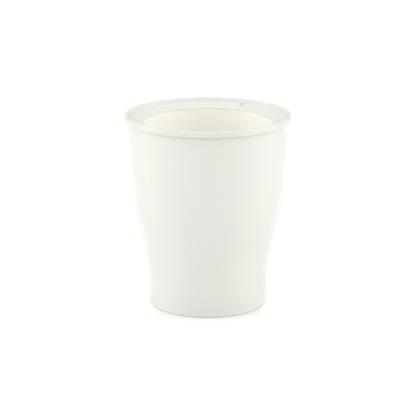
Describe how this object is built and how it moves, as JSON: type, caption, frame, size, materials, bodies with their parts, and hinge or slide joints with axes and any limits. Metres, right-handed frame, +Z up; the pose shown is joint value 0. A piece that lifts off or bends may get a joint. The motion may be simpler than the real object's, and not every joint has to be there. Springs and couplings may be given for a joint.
{
  "type": "pen cup",
  "caption": "Round desk cup for pens: a flared double wall, a rolled rim with a sloping collar, a lift-out inner cup and a weighted foot.",
  "frame": {"origin": "centre of the foot ring's underside, on the table", "axes": "+Z up along the cup's axis; +X and +Y across it, with the collar's vent slot 61.75 degrees from +X towards +Y"},
  "size_m": [0.0856, 0.0856, 0.1],
  "materials": {
    "shell_white": "satin gloss, moulded",
    "collar_white": "satin gloss, moulded",
    "liner_ivory": "satin, moulded",
    "plate_white": "fine texture, moulded",
    "foot_grey": "matt",
    "ballast_steel": "zinc plated, stamped",
    "screw_steel": "zinc plated"
  },
  "bodies": {
    "shell": {"outer_shell": "shell_white", "ballast_disc": "ballast_steel", "base_plate": "plate_white", "foot_ring": "foot_grey", "base_screw_1": "screw_steel", "base_screw_2": "screw_steel", "base_screw_3": "screw_steel"},
    "insert": {"rim_collar": "collar_white", "liner_cup": "liner_ivory"}
  },
  "joints": [
    {"name": "insert_lift", "type": "slide", "parent": "shell", "child": "insert", "axis": [0, 0, 1], "range_m": [0, 0.09]}
  ]
}
